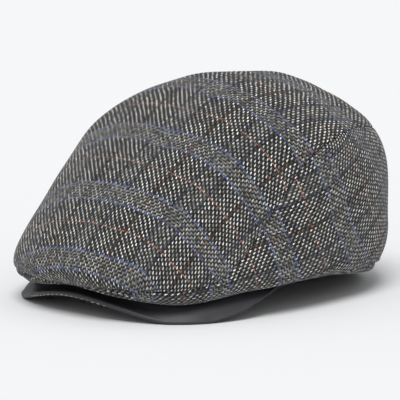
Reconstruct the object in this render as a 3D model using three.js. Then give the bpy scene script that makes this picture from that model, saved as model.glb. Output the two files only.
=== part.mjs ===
// A tweed flat cap with a leather peak, standing on a table as it would by itself.
// Millimetres. +Z is up, the peak points along -Y and the wearer's left side is +X.
// The origin is on the table, under the middle of the cap's length and width.
// Turn is an angle round the crown in degrees: 0 at the front, 90 at the left side, 180 at the back.
// Climb is a share of the way from the hem, 0, up the cloth to the top of the crown, 1.

import * as THREE from 'three';

// Driving dimensions
const crownLength = 243;        // plan of the crown, front to back
const crownWidth = 192;         // plan of the crown, side to side
const crownHeight = 130;        // table to the top of the crown
const topFullness = 0.95;       // how flat the top lies before it turns down
const hubSetback = 12.75;       // top of the crown, behind the middle of its length
const hemArch = 18;             // how high the hem rises off the table
const clothWall = 2;            // tweed, with its backing
const seamGap = 0.3;            // between two panels along a seam
const seatGap = 0.3;            // between the hem and the peak, and between other layers
const seamSink = 0.8;           // how far a seam pulls the cloth in
const seamSinkWidth = 4;        // reach of that dip on each side
const frontTip = 9;             // turn at which each side panel's front strip begins
const peakDepth = 38;           // peak, from its front edge back to the forehead
const peakEndDepth = 7;         // the same at its two ends
const peakEnd = 68;             // turn at which the peak ends
const peakOverhang = 6;         // how far the peak stands out past the hem at its lobes
const peakDrop = 10;            // how far its edge drops below the hem at its lobes
const peakRise = 6;             // how far the peak rises inwards, from the hem to the forehead
const leatherWall = 1.4;        // leather cover on its board
const beadHeight = 3.2;         // rolled edge of the leather
const beadEndHeight = 1.5;      // the same at the peak's ends
const beadWidth = 2.6;
const underWall = 1.1;          // piece that closes the peak underneath
const underLift = 0.4;          // its front edge above the rolled edge's foot
const underEnd = 60;            // turn at which it ends
const flapWall = 2.4;           // knitted flap, folded up inside
const flapHeight = 46;          // from its lower fold to its free edge
const flapLift = 4;             // lower fold above the hem
const flapStart = 80;           // turn at which the flap begins, clear of the peak
const columnStep = 5;           // degrees between two sections

// Table with named columns, one row for each section round the cap.
function sectionTable(columns, rows) {
  return rows.map((row) => Object.fromEntries(columns.map((column, index) => [column, row[index]])));
}

// The crown in sections round the cap. A reach is a share of the plan's half width or length there.
// The hem's height is a share of hemArch, and the other heights are shares of crownHeight.
const crownSections = sectionTable(
  ['turn', 'hemReach', 'hemHeight', 'bulgeReach', 'bulgeHeight', 'shoulderReach', 'shoulderHeight'],
  [
    [0, 0.946, 0.97, 0.998, 0.303, 0.563, 0.725],
    [20, 0.972, 0.75, 1.026, 0.285, 0.583, 0.731],
    [40, 0.998, 0.56, 1.058, 0.256, 0.638, 0.743],
    [60, 0.966, 0.85, 1.03, 0.244, 0.72, 0.761],
    [85, 0.904, 0.93, 0.99, 0.263, 0.811, 0.765],
    [110, 0.899, 0.67, 0.995, 0.288, 0.864, 0.763],
    [135, 0.897, 0.37, 0.995, 0.312, 0.851, 0.784],
    [158, 0.901, 0.1, 0.996, 0.325, 0.803, 0.83],
    [180, 0.906, -0.025, 1, 0.326, 0.763, 0.878],
  ],
);

// The seam between the top panel and a side panel: a low strip in front, a sharp rise, then the shoulder.
const seamSections = [
  { turn: 0, climb: 0.06 },
  { turn: 20, climb: 0.115 },
  { turn: 36, climb: 0.18 },
  { turn: 46, climb: 0.215 },
  { turn: 51, climb: 0.275 },
  { turn: 57, climb: 0.37 },
  { turn: 68, climb: 0.49 },
  { turn: 82, climb: 0.6 },
  { turn: 107, climb: 0.672 },
  { turn: 130, climb: 0.635 },
  { turn: 155, climb: 0.575 },
  { turn: 180, climb: 0.55 },
];

// Folds and dents, alike on both sides. Depth is in shares of foldDepth, and the spans are half widths.
const foldDepth = 2.2;
const folds = [
  // Cloth sagging over the rear hem, and the same fold running out forwards.
  { turn: 148, climb: 0.05, turnSpan: 22, climbSpan: 0.018, depth: 0.9 },
  { turn: 112, climb: 0.075, turnSpan: 13, climbSpan: 0.02, depth: 0.45 },
  // Pucker at the front strip, and the dent where the seam turns up.
  { turn: 24, climb: 0.15, turnSpan: 8, climbSpan: 0.03, depth: 0.8 },
  { turn: 51, climb: 0.2, turnSpan: 4, climbSpan: 0.09, depth: 0.7 },
];

// The peak's edge. Out is a share of peakOverhang past the hem, and drop a share of peakDrop below it.
const peakSections = [
  { turn: 0, out: 0, drop: 0.67 },
  { turn: 16, out: 0.08, drop: 0.64 },
  { turn: 31, out: 0.45, drop: 0.92 },
  { turn: 44, out: 0.95, drop: 1.15 },
  { turn: 56, out: 0.85, drop: 0.95 },
  { turn: 64, out: 0.5, drop: 0.45 },
  { turn: 72, out: 0.1, drop: 0.19 },
];

// Turn away from the front, 0 to 180, on either side.
function turnFromFront(turn) {
  return Math.abs(THREE.MathUtils.euclideanModulo(turn + 180, 360) - 180);
}

// Smooth value of one column of a table at a turn. The tables are alike left and right.
function valueAt(rows, turn, column) {
  const last = rows.length - 1;
  const angle = Math.min(turnFromFront(turn), rows[last].turn);
  const rowAt = (index) => {
    if (index < 0) return { turn: -rows[-index].turn, value: rows[-index][column] };
    if (index > last) {
      return { turn: 2 * rows[last].turn - rows[last - 1].turn, value: rows[last - 1][column] };
    }
    return { turn: rows[index].turn, value: rows[index][column] };
  };
  let index = 0;
  while (index < last - 1 && angle > rows[index + 1].turn) index += 1;
  const [before, low, high, after] = [-1, 0, 1, 2].map((step) => rowAt(index + step));
  const span = high.turn - low.turn;
  const lowSlope = ((high.value - before.value) / (high.turn - before.turn)) * span;
  const highSlope = ((after.value - low.value) / (after.turn - low.turn)) * span;
  return cubic((angle - low.turn) / span, low.value, high.value, lowSlope, highSlope);
}

// Cubic curve between two values with the slopes given at its ends.
function cubic(share, start, end, startSlope, endSlope) {
  const square = share * share;
  const cube = square * share;
  return (2 * cube - 3 * square + 1) * start + (cube - 2 * square + share) * startSlope
    + (3 * square - 2 * cube) * end + (cube - square) * endSlope;
}

// Plan of the crown at a reach of 1, seen from the hub.
function planAt(turn) {
  const angle = THREE.MathUtils.degToRad(turn);
  const reach = crownLength / 2 + hubSetback * Math.cos(angle);
  return new THREE.Vector2((crownWidth / 2) * Math.sin(angle), -reach * Math.cos(angle));
}

// Point over a turn, at a share of the plan's reach and a height.
function pointAt(turn, reach, height) {
  const plan = planAt(turn);
  return new THREE.Vector3(plan.x * reach, hubSetback + plan.y * reach, height);
}

// Height of the hem, pressed flat where the back of the cap rests on the table.
function hemHeightAt(turn) {
  return Math.max(hemArch * valueAt(crownSections, turn, 'hemHeight'), 0);
}

// Smooth crown, before its folds: hem, bulge, shoulder and top joined by cubic curves.
function smoothCrown(turn, climb) {
  const at = (column) => valueAt(crownSections, turn, column);
  const reaches = [at('hemReach'), at('bulgeReach'), at('shoulderReach'), 0];
  const heights = [hemHeightAt(turn), crownHeight * at('bulgeHeight'),
    crownHeight * at('shoulderHeight'), crownHeight];
  const topSlope = -topFullness * reaches[2];
  return pointAt(turn, alongProfile(reaches, climb, topSlope), alongProfile(heights, climb, 0));
}

// Value along the four levels of a profile.
function alongProfile(levels, climb, topSlope) {
  const slopes = [
    1.5 * (levels[1] - levels[0]) - 0.25 * (levels[2] - levels[0]),
    (levels[2] - levels[0]) / 2,
    (levels[3] - levels[1]) / 2,
    topSlope,
  ];
  const place = THREE.MathUtils.clamp(climb, 0, 1) * 3;
  const level = Math.min(Math.floor(place), 2);
  return cubic(place - level, levels[level], levels[level + 1], slopes[level], slopes[level + 1]);
}

// Outward direction of the smooth crown. It is level at the hem, so that the hem has a flat edge.
const hemLevelClimb = 0.04;
const turnProbe = 0.5;          // small steps over which the crown's direction and length are measured
const climbProbe = 0.004;
function crownNormal(turn, climb) {
  if (climb > 1 - climbProbe / 4) return new THREE.Vector3(0, 0, 1);
  const low = Math.max(climb - climbProbe, 0);
  const along = smoothCrown(turn + turnProbe, climb).sub(smoothCrown(turn - turnProbe, climb));
  const up = smoothCrown(turn, climb + climbProbe).sub(smoothCrown(turn, low));
  const normal = along.cross(up).normalize();
  const level = new THREE.Vector3(normal.x, normal.y, 0).normalize();
  return level.lerp(normal, Math.min(climb / hemLevelClimb, 1)).normalize();
}

// Length of cloth for one whole climb at a turn and climb.
function clothPerClimb(turn, climb) {
  const low = Math.max(climb - climbProbe, 0);
  const high = climb + climbProbe;
  return smoothCrown(turn, high).distanceTo(smoothCrown(turn, low)) / (high - low);
}

// Climb that lies a length of cloth further up than another, found in small steps.
const climbSteps = 200;
function climbAfter(turn, start, length) {
  let climb = start;
  let left = length;
  let point = smoothCrown(turn, climb);
  while (left > 0 && climb < 1) {
    const next = smoothCrown(turn, climb + 1 / climbSteps);
    const distance = next.distanceTo(point);
    climb += Math.min(left / distance, 1) / climbSteps;
    left -= distance;
    point = next;
  }
  return climb;
}

function seamClimb(turn) {
  return valueAt(seamSections, turn, 'climb');
}

// How far the seams, folds and dents pull the cloth in.
function inwardPull(turn, climb) {
  const side = turnFromFront(turn);
  const bell = (distance) => Math.exp(-distance * distance);
  const fromSeam = (climb - seamClimb(turn)) * clothPerClimb(turn, seamClimb(turn));
  let pull = seamSink * bell(fromSeam / seamSinkWidth) * Math.min(climb / hemLevelClimb, 1);
  for (const fold of folds) {
    pull += foldDepth * fold.depth * bell((side - fold.turn) / fold.turnSpan)
      * bell((climb - fold.climb) / fold.climbSpan) * Math.min(climb / hemLevelClimb, 1);
  }
  return pull;
}

// Point of the crown at a depth under its outer face.
function crownPoint(turn, climb, depth) {
  const normal = crownNormal(turn, climb);
  return smoothCrown(turn, climb).addScaledVector(normal, -depth - inwardPull(turn, climb));
}

// Turns of the sections between two turns, at each whole step and at both ends.
const shortestStep = 0.2;       // share of a step under which a section is left out beside an end
function turnsBetween(start, end) {
  const turns = [start];
  const first = Math.ceil(start / columnStep + shortestStep) * columnStep;
  const last = end - shortestStep * columnStep;
  for (let turn = first; turn < last; turn += columnStep) turns.push(turn);
  turns.push(end);
  return turns;
}

// Two faces between four corners in turn, split along the shorter diagonal, so that layers match.
function splitSquare(points, a, b, c, d) {
  return points[a].distanceTo(points[c]) <= points[b].distanceTo(points[d])
    ? [a, b, c, a, c, d]
    : [a, b, d, b, c, d];
}

// Closed body from a loop of points at each section, swept from the first section to the last.
// The first and last loops are filled, unless the sweep closes on itself.
function sweptBody(loops, closesOnItself = false) {
  const size = loops[0].length;
  const points = loops.flat();
  const indices = [];
  const sweeps = closesOnItself ? loops.length : loops.length - 1;
  for (let section = 0; section < sweeps; section += 1) {
    const near = section * size;
    const far = ((section + 1) % loops.length) * size;
    for (let corner = 0; corner < size; corner += 1) {
      const next = (corner + 1) % size;
      indices.push(...splitSquare(points, near + corner, far + corner, far + next, near + next));
    }
  }
  if (!closesOnItself) {
    const last = (loops.length - 1) * size;
    for (const [a, b, c] of loopFaces(loops[0])) indices.push(a, b, c);
    for (const [a, b, c] of loopFaces(loops[loops.length - 1])) indices.push(last + a, last + c, last + b);
  }
  return outwardGeometry(points, indices);
}

// Triangles that fill a loop of points, laid flat along its own plane.
function loopFaces(loop) {
  const normal = new THREE.Vector3();
  loop.forEach((point, index) => {
    const next = loop[(index + 1) % loop.length];
    normal.add(new THREE.Vector3().crossVectors(point.clone().sub(loop[0]), next.clone().sub(loop[0])));
  });
  normal.normalize();
  const level = new THREE.Vector3(-normal.y, normal.x, 0).normalize();
  const upright = new THREE.Vector3().crossVectors(normal, level);
  const flat = loop.map((point) => new THREE.Vector2(point.dot(level), point.dot(upright)));
  return THREE.ShapeUtils.triangulateShape(flat, []);
}

// Indexed geometry with its faces turned outwards.
function outwardGeometry(points, indices) {
  let volume = 0;
  for (let face = 0; face < indices.length; face += 3) {
    const [a, b, c] = [0, 1, 2].map((step) => points[indices[face + step]]);
    volume += a.dot(new THREE.Vector3().crossVectors(b, c));
  }
  if (volume < 0) indices.reverse();
  const geometry = new THREE.BufferGeometry().setFromPoints(points);
  geometry.setIndex(indices);
  geometry.computeVertexNormals();
  return geometry;
}

// Climb of a seam's edge, half a gap away from the seam line.
function seamEdge(turn, side) {
  const line = seamClimb(turn);
  return line + (side * seamGap) / 2 / clothPerClimb(turn, line);
}

// Front and top panel: one shell from the top of the crown out to the seam, and to the hem in front.
const topRings = 10;
const tipGapTurn = THREE.MathUtils.radToDeg(seamGap / (crownLength / 2));
function crownTopGeometry() {
  const tip = frontTip - 2 * tipGapTurn;
  const left = [0, columnStep, tip, frontTip - tipGapTurn, ...turnsBetween(frontTip, 180).slice(1, -1)];
  const right = left.slice(1).map((turn) => -turn).reverse();
  const turns = [...left, 180, ...right];
  const edge = (turn) => (Math.abs(turn) <= tip ? 0 : seamEdge(turn, 1));
  const points = [crownPoint(0, 1, 0), crownPoint(0, 1, clothWall)];
  const indices = [];
  const rings = 2 * topRings;
  for (const turn of turns) {
    const cloth = 1 - edge(turn);
    const climbs = Array.from({ length: topRings }, (_, ring) => 1 - ((ring + 1) / topRings) * cloth);
    for (const climb of climbs) points.push(crownPoint(turn, climb, 0));
    for (const climb of climbs.reverse()) points.push(crownPoint(turn, climb, clothWall));
  }
  turns.forEach((turn, column) => {
    const near = 2 + column * rings;
    const far = 2 + ((column + 1) % turns.length) * rings;
    indices.push(0, near, far);
    for (let ring = 0; ring < rings - 1; ring += 1) {
      indices.push(...splitSquare(points, near + ring, near + ring + 1, far + ring + 1, far + ring));
    }
    indices.push(near + rings - 1, 1, far + rings - 1);
  });
  return outwardGeometry(points, indices);
}

// Climbs of a side panel's rows: up to the flap's lower fold, along the flap, then on to the seam.
// The flap has the same rows, so that it lies evenly against the cloth.
const hemRows = 2;
const flapRows = 5;
const shoulderRows = 4;
const foldCrowding = 1.5;       // rows lie closer together above the hem
const lowestFoldShare = 0.15;
const highestEdgeShare = 0.85;
function sideClimbs(turn) {
  const top = seamEdge(turn, -1);
  const fold = Math.min(climbAfter(turn, 0, flapLift), lowestFoldShare * top);
  const edge = Math.min(climbAfter(turn, 0, flapLift + flapHeight), highestEdgeShare * top);
  const rows = (start, end, count, crowding) => Array.from(
    { length: count },
    (_, row) => start + (end - start) * (row / count) ** crowding,
  );
  return [...rows(0, fold, hemRows, 1), ...rows(fold, edge, flapRows, foldCrowding),
    ...rows(edge, top, shoulderRows, 1), top];
}

// Side panel from its front tip round to the middle of the back. Hand is 1 on the left and -1 on the right.
function sidePanelGeometry(hand) {
  const backGapTurn = THREE.MathUtils.radToDeg(seamGap / 2 / (crownLength / 2 - hubSetback));
  const loops = turnsBetween(frontTip, 180 - backGapTurn).map((turn) => {
    const climbs = sideClimbs(turn);
    const outer = climbs.map((climb) => crownPoint(hand * turn, climb, 0));
    const inner = climbs.map((climb) => crownPoint(hand * turn, climb, clothWall));
    return [...outer, ...inner.reverse()];
  });
  return sweptBody(loops);
}

// What the peak's cross sections share at a turn: its edge, its seat under the hem and its inner end.
function peakSection(turn) {
  const plan = planAt(turn).length();
  const hem = valueAt(crownSections, turn, 'hemReach') * plan;
  const hemHeight = hemHeightAt(turn);
  const endShare = (Math.abs(turn) / peakEnd) ** 2;
  const edge = hem + peakOverhang * valueAt(peakSections, turn, 'out');
  const low = Math.max(hemHeight - peakDrop * valueAt(peakSections, turn, 'drop'), 0);
  const bead = THREE.MathUtils.lerp(beadHeight, beadEndHeight, endShare);
  const depth = THREE.MathUtils.lerp(peakDepth, peakEndDepth, endShare);
  const seat = { reach: hem - clothWall - seatGap, height: hemHeight - seatGap };
  const rise = peakRise * (1 - endShare);
  return { turn, plan, edge, low, bead, seat, inner: { reach: edge - depth, height: seat.height + rise } };
}

// Top line of the peak in a section, from behind its rolled edge to the forehead.
const slopeSteps = 4;
const shelfSteps = 4;
const bendReach = 0.45;         // bend of the slope between the edge and the hem, as shares of both
const bendRise = 0.75;
function peakTopLine(section) {
  const start = new THREE.Vector2(section.edge - beadWidth, section.low + section.bead);
  const seat = new THREE.Vector2(section.seat.reach, section.seat.height);
  const inner = new THREE.Vector2(section.inner.reach, section.inner.height);
  const bend = new THREE.Vector2(
    THREE.MathUtils.lerp(seat.x, start.x, bendReach),
    THREE.MathUtils.lerp(start.y, seat.y, bendRise),
  );
  const slope = new THREE.QuadraticBezierCurve(start, bend, seat).getPoints(slopeSteps);
  const shelf = new THREE.LineCurve(seat, inner).getPoints(shelfSteps).slice(1);
  return [...slope, ...shelf];
}

// A line of the section moved down and back by a thickness, square to the line.
const sharpestCorner = 0.6;     // keeps the wall's thickness round a corner, down to this cosine
function lineBelow(line, thickness) {
  return line.map((point, index) => {
    const arriving = point.clone().sub(line[Math.max(index - 1, 0)]).normalize();
    const leaving = line[Math.min(index + 1, line.length - 1)].clone().sub(point).normalize();
    const direction = arriving.clone().add(leaving).normalize();
    const known = index > 0 ? arriving : leaving;
    const reach = thickness / Math.max(direction.dot(known), sharpestCorner);
    return new THREE.Vector2(point.x - direction.y * reach, point.y + direction.x * reach);
  });
}

function toSpace(section, points) {
  return points.map((point) => pointAt(section.turn, point.x / section.plan, point.y));
}

// Rolled edge in a section, from its foot round the outside. Back is a share of beadWidth behind
// the edge, and up a share of the bead's height.
const rollPoints = [
  { back: 1, up: 0 },
  { back: 0.25, up: 0 },
  { back: 0, up: 0.4 },
  { back: 0.3, up: 0.9 },
];

// Leather cover of the peak with its rolled edge.
function peakUpperGeometry() {
  const loops = turnsBetween(-peakEnd, peakEnd).map((turn) => {
    const section = peakSection(turn);
    const { edge, low, bead } = section;
    const roll = rollPoints.map(
      ({ back, up }) => new THREE.Vector2(edge - back * beadWidth, low + up * bead),
    );
    const top = peakTopLine(section);
    return toSpace(section, [...roll, ...top, ...lineBelow(top, leatherWall).reverse()]);
  });
  return sweptBody(loops);
}

// Piece that closes the peak underneath, set inside the rolled edge and under the cover's inner end.
const underSteps = 5;
function peakUnderGeometry() {
  const loops = turnsBetween(-underEnd, underEnd).map((turn) => {
    const section = peakSection(turn);
    const front = new THREE.Vector2(
      section.edge - beadWidth - leatherWall - seatGap,
      section.low + underLift + underWall,
    );
    const back = new THREE.Vector2(section.inner.reach, section.inner.height - leatherWall - seatGap);
    const top = new THREE.LineCurve(front, back).getPoints(underSteps);
    const bottom = top.map((point) => new THREE.Vector2(point.x, point.y - underWall));
    return toSpace(section, [...top, ...bottom.reverse()]);
  });
  return sweptBody(loops);
}

// Knitted ear flap: one band folded up inside the hem, from one side round the back to the other.
function earFlapGeometry() {
  const loops = turnsBetween(flapStart, 360 - flapStart).map((turn) => {
    const climbs = sideClimbs(turn).slice(hemRows, hemRows + flapRows + 1);
    const outer = climbs.map((climb) => crownPoint(turn, climb, clothWall + seatGap));
    const inner = climbs.map((climb) => crownPoint(turn, climb, clothWall + seatGap + flapWall));
    return [...outer, ...inner.reverse()];
  });
  return sweptBody(loops);
}

const partMaterial = (color, roughness) => new THREE.MeshStandardMaterial({ color, roughness, metalness: 0 });

function addPiece(group, name, geometry, material) {
  const mesh = new THREE.Mesh(geometry, material);
  mesh.name = name;
  group.add(mesh);
}

const cap = new THREE.Group();
addPiece(cap, 'crown_top', crownTopGeometry(), partMaterial(0x5d5c58, 0.95));
addPiece(cap, 'side_panel_left', sidePanelGeometry(1), partMaterial(0x565551, 0.95));
addPiece(cap, 'side_panel_right', sidePanelGeometry(-1), partMaterial(0x565551, 0.95));
addPiece(cap, 'peak_upper', peakUpperGeometry(), partMaterial(0x2a2b30, 0.45));
addPiece(cap, 'peak_under', peakUnderGeometry(), partMaterial(0x1d1d20, 0.8));
addPiece(cap, 'ear_flap', earFlapGeometry(), partMaterial(0x26262a, 0.98));

// Set down on the table, with the middle of the cap's length and width over the origin.
const extent = new THREE.Box3().setFromObject(cap);
const middle = extent.getCenter(new THREE.Vector3());
cap.position.set(-middle.x, -middle.y, -extent.min.z);

export default cap;
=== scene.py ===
import bpy
import math
import numpy as np
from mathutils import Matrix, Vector


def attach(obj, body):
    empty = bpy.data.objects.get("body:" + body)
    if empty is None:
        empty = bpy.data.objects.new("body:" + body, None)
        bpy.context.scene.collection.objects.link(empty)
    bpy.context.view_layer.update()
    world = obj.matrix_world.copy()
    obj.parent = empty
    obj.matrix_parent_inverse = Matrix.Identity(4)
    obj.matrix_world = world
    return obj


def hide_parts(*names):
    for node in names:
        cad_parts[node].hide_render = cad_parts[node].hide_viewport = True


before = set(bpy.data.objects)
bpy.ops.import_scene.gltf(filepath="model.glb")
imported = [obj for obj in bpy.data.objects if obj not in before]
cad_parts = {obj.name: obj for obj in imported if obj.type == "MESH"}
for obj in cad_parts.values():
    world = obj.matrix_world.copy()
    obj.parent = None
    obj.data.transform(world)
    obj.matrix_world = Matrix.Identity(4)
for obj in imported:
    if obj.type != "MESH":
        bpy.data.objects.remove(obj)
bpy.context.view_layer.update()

metre = 0.001  # one millimetre; every size below is in millimetres
patternScale = 10 * metre  # size of the flat patterns in their UV maps


# Shape of the crown

crown = {
    "length": 243.0, "width": 192.0, "height": 130.0,
    "topFullness": 0.95,  # how flat the top lies before it turns down
    "hubSetback": 12.75,  # top of the crown, behind the middle of its length
    "hemArch": 18.0,  # how high the hem rises off the table
    "shift": 1.328,  # puts the middle of the length over the origin
}
# Fitted to the photograph's outline and rounded. Turn is from the front in degrees, reach a share of
# the plan, hem height a share of the arch, and the other heights are shares of the crown's height.
crownSections = np.array([
    # turn, hem reach, hem height, bulge reach, bulge height, shoulder reach, shoulder height
    [0, 0.946, 0.97, 0.998, 0.303, 0.563, 0.725],
    [20, 0.972, 0.75, 1.026, 0.285, 0.583, 0.731],
    [40, 0.998, 0.56, 1.058, 0.256, 0.638, 0.743],
    [60, 0.966, 0.85, 1.03, 0.244, 0.72, 0.761],
    [85, 0.904, 0.93, 0.99, 0.263, 0.811, 0.765],
    [110, 0.899, 0.67, 0.995, 0.288, 0.864, 0.763],
    [135, 0.897, 0.37, 0.995, 0.312, 0.851, 0.784],
    [158, 0.901, 0.1, 0.996, 0.325, 0.803, 0.83],
    [180, 0.906, -0.025, 1, 0.326, 0.763, 0.878],
])
# seam between the top panel and a side panel, from points picked in the photograph
seamSections = np.array([
    # turn, climb
    [0, 0.06], [20, 0.115], [36, 0.18], [46, 0.215], [51, 0.275], [57, 0.37], [68, 0.49],
    [82, 0.6], [107, 0.672], [130, 0.635], [155, 0.575], [180, 0.55],
])


def fromFront(turn):
    return np.abs((np.asarray(turn, float) + 180) % 360 - 180)


# Smooth values of a table at some turns, alike on the left and the right.
def smoothTable(rows, turn):
    at = rows[:, 0]
    turns = np.concatenate([[-at[1]], at, [2 * at[-1] - at[-2]]])
    values = np.concatenate([rows[1:2, 1:], rows[:, 1:], rows[-2:-1, 1:]])
    angle = np.minimum(fromFront(turn), at[-1])
    k = np.clip(np.searchsorted(at, angle, side="right") - 1, 0, len(at) - 2) + 1
    span = (turns[k + 1] - turns[k])[..., None]
    share = (angle - turns[k])[..., None] / span
    low = (values[k + 1] - values[k - 1]) / (turns[k + 1] - turns[k - 1])[..., None] * span
    high = (values[k + 2] - values[k]) / (turns[k + 2] - turns[k])[..., None] * span
    return hermite(share, values[k], values[k + 1], low, high)


def hermite(share, start, end, startSlope, endSlope):
    square, cube = share**2, share**3
    return ((2 * cube - 3 * square + 1) * start + (cube - 2 * square + share) * startSlope
            + (3 * square - 2 * cube) * end + (cube - square) * endSlope)


# One value along the hem, bulge, shoulder and top.
def alongProfile(levels, climb, topSlope):
    slopes = [1.5 * (levels[1] - levels[0]) - 0.25 * (levels[2] - levels[0]),
              (levels[2] - levels[0]) / 2, (levels[3] - levels[1]) / 2, topSlope]
    place = np.clip(climb, 0, 1) * 3
    pieces = [hermite(place - step, levels[step], levels[step + 1], slopes[step], slopes[step + 1])
              for step in range(3)]
    return np.where(place < 1, pieces[0], np.where(place < 2, pieces[1], pieces[2]))


def planLength(turn):
    angle = np.radians(turn)
    across = crown["width"] / 2 * np.sin(angle)
    along = -np.cos(angle) * (crown["length"] / 2 + crown["hubSetback"] * np.cos(angle))
    return across, along


def hemHeight(turn):
    return np.maximum(crown["hemArch"] * smoothTable(crownSections, turn)[..., 1], 0)


# Points of the smooth crown over some turns and climbs.
def smoothCrown(turn, climb):
    turn, climb = np.broadcast_arrays(np.asarray(turn, float), np.asarray(climb, float))
    hemReach, _, bulgeReach, bulgeUp, shoulderReach, shoulderUp = np.moveaxis(
        smoothTable(crownSections, turn), -1, 0)
    high = crown["height"]
    reach = alongProfile([hemReach, bulgeReach, shoulderReach, 0 * hemReach], climb,
                         -crown["topFullness"] * shoulderReach)
    up = alongProfile([hemHeight(turn), high * bulgeUp, high * shoulderUp, high + 0 * bulgeUp],
                      climb, 0 * hemReach)
    across, along = planLength(turn)
    return np.stack([across * reach, crown["hubSetback"] + along * reach, up], -1)


def unit(vectors):
    return vectors / np.maximum(np.linalg.norm(vectors, axis=-1, keepdims=True), 1e-12)


# Outward direction of the crown, level at the hem.
def crownNormal(turn, climb):
    turn, climb = np.broadcast_arrays(np.asarray(turn, float), np.asarray(climb, float))
    along = smoothCrown(turn + 0.5, climb) - smoothCrown(turn - 0.5, climb)
    up = smoothCrown(turn, climb + 0.004) - smoothCrown(turn, np.maximum(climb - 0.004, 0))
    normal = unit(np.cross(along, up))
    level = unit(normal * [1, 1, 0])
    share = np.clip(climb / 0.04, 0, 1)[..., None]
    normal = unit(level * (1 - share) + normal * share)
    return np.where((climb > 0.99)[..., None], [0.0, 0.0, 1.0], normal)


def seamClimb(turn):
    return smoothTable(seamSections, turn)[..., 0]


ladder = np.linspace(0, 1, 401)  # climbs at which the length of the cloth is known


# Lengths of cloth up the crown at the ladder's climbs, one row for each turn.
def clothLadder(turns):
    points = smoothCrown(np.asarray(turns)[:, None], ladder[None, :])
    steps = np.linalg.norm(np.diff(points, axis=1), axis=-1)
    return np.concatenate([np.zeros((len(turns), 1)), np.cumsum(steps, axis=1)], axis=1)


# Climbs at some lengths of cloth, one row for each turn.
def climbsAt(lengths, ladders):
    return np.stack([np.interp(length, rungs, ladder) for length, rungs in zip(lengths, ladders)])


def lengthToSeam(turns, ladders):
    return np.array([np.interp(seamClimb(turn), ladder, rungs) for turn, rungs in zip(turns, ladders)])


# Folds, dents and seams of the cloth

relief = {
    "seamSink": 1.0, "backSeamSink": 0.25, "seamReach": 1.7,  # groove along the seams
    "backStart": 80, "backBlend": 25,  # turn from which the groove grows shallow, and over how many degrees
    "plainHem": 3.0,  # cloth above the hem over which folds and waves begin
    "swell": 0.35, "swellPlace": 1.6,  # cloth standing out beside a fold, in its depths and widths
    "unevenness": 0.35,  # soft waves all over
}
# Side 0 is both sides, 1 the wearer's left and -1 the right.
clothFolds = [
    # turn, cloth above the hem, half length (degrees), width, depth, side, slope (mm per degree)
    (114, 6.5, 15, 1.2, 3.0, 1, 0.02),  # rear fold, running forward
    (143, 6.0, 20, 2.4, 0.8, 0, -0.02),  # cloth sagging over the rear hem
    (115, 6.0, 15, 1.8, 1.2, -1, 0.02),
    (21, 4.2, 7, 1.6, 1.4, 1, 0.1),  # pucker over the strip's tip
    (26, 9.5, 5, 2.4, 0.8, 1, 0.35),
    (23, 4.6, 8, 1.8, 1.2, -1, 0.12),
    (46, 13, 3.5, 7, 1.0, 0, -0.8),  # dent where the seam turns up
]


def waves(points):
    x, y, z = points[..., 0], points[..., 1], points[..., 2]
    return (np.sin(x / 13.0 + 1.1 * np.sin(y / 31.0) + 0.4) * np.sin(y / 17.0 + 0.9 * np.sin(z / 23.0))
            + 0.6 * np.sin(y / 9.1 + x / 21.0 + 1.3) * np.sin(z / 11.3 - x / 27.0 + 0.7)
            + 0.5 * np.sin((x + y) / 7.3 + 2.1) * np.sin((z - x) / 8.9 + 0.2))


# How far the cloth is drawn in, from its seams, folds and waves.
def drawnIn(turn, up, fromSeam, points):
    side = np.sign((np.asarray(turn) + 180) % 360 - 180)
    nearHem = np.clip(up / relief["plainHem"], 0, 1)
    behind = np.clip((fromFront(turn) - relief["backStart"]) / relief["backBlend"], 0, 1)
    sink = relief["seamSink"] + (relief["backSeamSink"] - relief["seamSink"]) * behind
    depth = sink * np.exp(-(fromSeam / relief["seamReach"]) ** 2) * nearHem
    for foldTurn, foldUp, span, width, deep, foldSide, slope in clothFolds:
        shown = np.where(side == foldSide, 1.0, 0.0) if foldSide else 1.0
        along = fromFront(turn) - foldTurn
        across = (up - (foldUp + slope * along)) / width
        swell = relief["swell"] * np.exp(-(across - relief["swellPlace"]) ** 2)
        depth = depth + shown * nearHem * deep * np.exp(-(along / span) ** 2) * (
            np.exp(-across**2) - swell)
    return depth + relief["unevenness"] * nearHem * waves(points)


# Flat pattern of a panel: the cloth laid flat with as little stretch as it can, so that the check
# runs over the crown as the weave does.

# Grid with one more row at each end, which goes straight on.
def straightOn(grid):
    return np.concatenate([2 * grid[:1] - grid[1:2], grid, 2 * grid[-1:] - grid[-2:-1]])


def cubicShares(f):
    return [-0.5 * f + f**2 - 0.5 * f**3, 1 - 2.5 * f**2 + 1.5 * f**3,
            0.5 * f + 2 * f**2 - 1.5 * f**3, -0.5 * f**2 + 0.5 * f**3]


# Smooth values between the points of a grid, whose columns may go round.
def spreadValues(grid, rowPlace, columnPlace, wraps):
    rows, columns = grid.shape[:2]
    wide = straightOn(grid)
    r0 = np.clip(np.floor(rowPlace).astype(int), 0, rows - 2)
    c0 = np.floor(columnPlace).astype(int)
    if not wraps:
        c0 = np.clip(c0, 0, columns - 2)
        wide = straightOn(wide.swapaxes(0, 1)).swapaxes(0, 1)
    rowShares = cubicShares((rowPlace - r0)[..., None])
    columnShares = cubicShares((columnPlace - c0)[..., None])
    total = 0
    for i in range(4):
        for j in range(4):
            column = (c0 + j - 1) % columns if wraps else c0 + j
            total = total + rowShares[i] * columnShares[j] * wide[r0 + i, column]
    return total


# Two triangles for each cell of a grid.
def cellFaces(rows, columns, wraps):
    faces = []
    for r in range(rows - 1):
        for k in range(columns if wraps else columns - 1):
            a, b = r * columns + k, r * columns + (k + 1) % columns
            faces += [(a, b, b + columns), (a, b + columns, a + columns)]
    return faces


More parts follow.
